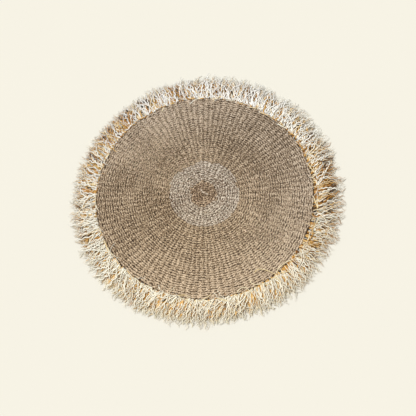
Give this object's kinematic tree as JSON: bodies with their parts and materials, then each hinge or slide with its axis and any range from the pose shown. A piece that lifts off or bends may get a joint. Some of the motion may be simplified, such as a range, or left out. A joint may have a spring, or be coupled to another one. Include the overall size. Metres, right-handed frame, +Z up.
{
  "type": "round fringed rug",
  "caption": "Flat round rug: a thick disc of twined seagrass with radial ribs and a paler ring, edged all round with a loose raffia fringe.",
  "frame": {"origin": "on the floor, under the middle of the rug", "axes": "+Z up, out of the rug's top; the rug is the same all round apart from its uneven fringe, which reaches a little further towards +X"},
  "size_m": [1.0001, 1.0055, 0.0122],
  "materials": {
    "seagrass": "matte brown seagrass cord, twined, dry",
    "raffia": "dry cream raffia strips with golden streaks, slight sheen"
  },
  "bodies": {
    "root": {"woven_disc": "seagrass", "raffia_fringe": "raffia"}
  },
  "joints": []
}
